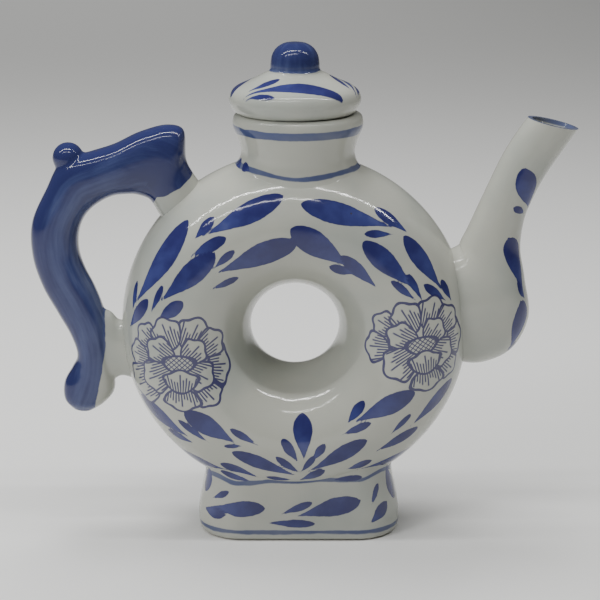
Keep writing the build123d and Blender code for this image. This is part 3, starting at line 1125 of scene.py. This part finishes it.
# (radius, z) of the lid's hollow, from its axis to the flange
CEILING = [(0.0, 173.9), (5.0, 173.5), (10.0, 172.1), (13.2, 169.6), (14.9, 166.3)]
LID_ROWS, CEILING_ROWS, LID_COLUMNS = 110, 36, 220
LID_REPEATS = 3  # the group of strokes repeats round the lid
LID_STROKES_ABOVE_Z = 167.2
VENT_Y, VENT_R = 13.5, 1.3  # the steam vent is behind the knob
LEVEL_ENOUGH = 0.2  # a face is part of the lid's top or ceiling if its normal rises this much

KNOB_SIDE = [
    (0.0, 176.4),
    (10.0, 176.4),
    (9.25, 177.5),
    (9.1, 179.6),
    (8.6, 182.4),
    (7.0, 185.1),
    (4.2, 186.9),
    (0.0, 187.4),
]
KNOB_ROWS, KNOB_COLUMNS = 60, 128
KNOB_BARE_BELOW_Z = 176.9
KNOB_BRUSH_SCALE = (2.2, 2.2, 0.05)  # streaks run up and down


def turned(profile, columns):
    """Grid points of (radius, z) rows turned about the lid's axis."""
    angle = full_turn(columns)
    radius, z = np.asarray(profile).T[..., None]
    return np.stack([LID_X + radius * np.cos(angle), radius * np.sin(angle), z + 0 * angle], -1)


def pierce(piece, x, y, radius):
    """A round hole straight down through a piece's two skins. Lengths in metres."""
    centre = Vector((x, y))
    mesh = bmesh.new()
    mesh.from_mesh(piece.data)
    inside = []
    for face in mesh.faces:
        away = face.calc_center_median().xy - centre
        if away.length < radius and abs(face.normal.z) > LEVEL_ENOUGH:
            inside.append(face)
    bmesh.ops.delete(mesh, geom=inside, context="FACES")
    rim = [edge for edge in mesh.edges if edge.is_boundary]
    for vertex in {vertex for edge in rim for vertex in edge.verts}:
        vertex.co.xy = centre + (vertex.co.xy - centre).normalized() * radius
    made = bmesh.ops.bridge_loops(mesh, edges=rim)
    for face in made["faces"]:
        face.smooth = True
    bmesh.ops.recalc_face_normals(mesh, faces=mesh.faces)
    mesh.to_mesh(piece.data)
    mesh.free()
    piece.data.set_sharp_from_angle(angle=SHARP_ANGLE)


lid_grid = np.concatenate(
    [
        turned(spline(LID_SIDE, np.linspace(0, 1, LID_ROWS)), LID_COLUMNS),
        turned(spline(CEILING, np.linspace(0, 1, CEILING_ROWS)), LID_COLUMNS),
    ]
)
plan = lid_grid[..., :2] - (LID_X, 0)
lid_stroke = np.full(lid_grid.shape[:2], FAR_AWAY)
lid_along = np.zeros(lid_grid.shape[:2])
for repeat in range(LID_REPEATS):
    turn = repeat * 2 * math.pi / LID_REPEATS
    stroke, along = stroke_field(turned_by(plan, turn), LID_STROKES)
    lid_along = np.where(stroke < lid_stroke, along, lid_along)
    lid_stroke = np.minimum(lid_stroke, stroke)
under_lid = lid_grid[..., 2] < LID_STROKES_ABOVE_Z
under_lid[LID_ROWS:] = True
lid_fields = {
    "stroke": np.where(under_lid, FAR_AWAY, lid_stroke),
    "along": lid_along,
    "band": np.full(lid_grid.shape[:2], FAR_AWAY),
}
lid_piece = make_grid_piece("lid_dome", lid_grid, "lid", PAINTED_GLAZE, lid_fields)
pierce(lid_piece, LID_X * MM, VENT_Y * MM, VENT_R * MM)

knob_rows = spline(KNOB_SIDE[1:], np.linspace(0, 1, KNOB_ROWS))
knob_grid = turned(np.concatenate([KNOB_SIDE[:1], knob_rows]), KNOB_COLUMNS)
knob_height = knob_grid[..., 2]
knob_turn = np.arctan2(knob_grid[..., 1], knob_grid[..., 0] - LID_X)
knob_around = np.stack([np.cos(knob_turn), np.sin(knob_turn), knob_height], -1)
knob_fields = {
    "brush": knob_around * KNOB_BRUSH_SCALE,
    "painted_shade_and_tone": -0.25 + 0.35 * (1 - smoothstep(177.0, 181.0, knob_height)),
    "bare": knob_height - KNOB_BARE_BELOW_Z,
}
make_grid_piece("lid_knob", knob_grid, "lid", COBALT_GLAZE, knob_fields)
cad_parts["lid_flange"].data.materials.clear()
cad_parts["lid_flange"].data.materials.append(CLAY)

# ---- stage, light and camera

# Lengths are metres from here on. Each light is (name, place, what it aims at, size, watts).
SOFT_LIGHTS = [
    ("over the backdrop", (-0.12, 0.26, 0.80), (-0.10, 0.25, 0), (0.45, 0.3), 5.0),
    ("far backdrop", (-0.45, 2.1, 1.3), (-0.35, 1.9, 0), (1.0, 0.5), 8.0),
    ("key", (-0.74, -0.72, 0.72), (0, 0, 0.06), (0.30, 0.16), 4.3),
]
# Long thin tubes give the glaze its fine bright lines.
TUBE_LIGHTS = [
    ("tube over the pot", (-0.10, -0.20, 1.12), (-0.10, 0, 0.10), (2.60, 0.018), 12.0),
    ("tube in front", (-0.40, -0.62, 1.02), (-0.40, 0, 0.10), (1.20, 0.014), 2.4),
]
FLOOR_HALF = 3.0
CAMERA_DISTANCE = 0.7652
CAMERA_RISE = math.radians(15.3)
CAMERA_SHIFT = (0.00833, 0.03833)  # shares of the picture's width

floor_mesh = bpy.data.meshes.new("floor")
corners = [(x * FLOOR_HALF, y * FLOOR_HALF, 0) for x, y in ((-1, -1), (1, -1), (1, 1), (-1, 1))]
floor_mesh.from_pydata(corners, [], [(0, 1, 2, 3)])
floor = add_object("floor", floor_mesh)
floor_shader = Shader("studio floor")
floor_shader.surface(Base_Color=(0.80, 0.80, 0.785), Roughness=0.6)
floor_mesh.materials.append(floor_shader.material)

world = bpy.data.worlds.new("studio")
world.use_nodes = True
background = world.node_tree.nodes["Background"]
background.inputs["Color"].default_value = (0.93, 0.93, 0.90, 1)
background.inputs["Strength"].default_value = 0.10
bpy.context.scene.world = world


def area_light(name, place, aim, size, power, mirrored):
    """A rectangular lamp, which shows in the glaze only if mirrored."""
    data = bpy.data.lights.new(name, "AREA")
    data.shape = "RECTANGLE"
    data.size, data.size_y = size
    data.energy = power
    lamp = add_object(name, data)
    lamp.location = place
    lamp.rotation_euler = (Vector(aim) - Vector(place)).to_track_quat("-Z", "Y").to_euler()
    lamp.visible_glossy = mirrored


for light in SOFT_LIGHTS:
    area_light(*light, mirrored=False)
for light in TUBE_LIGHTS:
    area_light(*light, mirrored=True)

camera_data = bpy.data.cameras.new("camera")
camera = add_object("camera", camera_data)
camera_offset = Vector((0, -math.cos(CAMERA_RISE), math.sin(CAMERA_RISE))) * CAMERA_DISTANCE
camera.location = Vector((0, 0, RING_Z * MM)) + camera_offset
camera.rotation_euler = (math.pi / 2 - CAMERA_RISE, 0, 0)
camera_data.sensor_width = 36
camera_data.lens = 120
camera_data.shift_x, camera_data.shift_y = CAMERA_SHIFT
bpy.context.scene.camera = camera
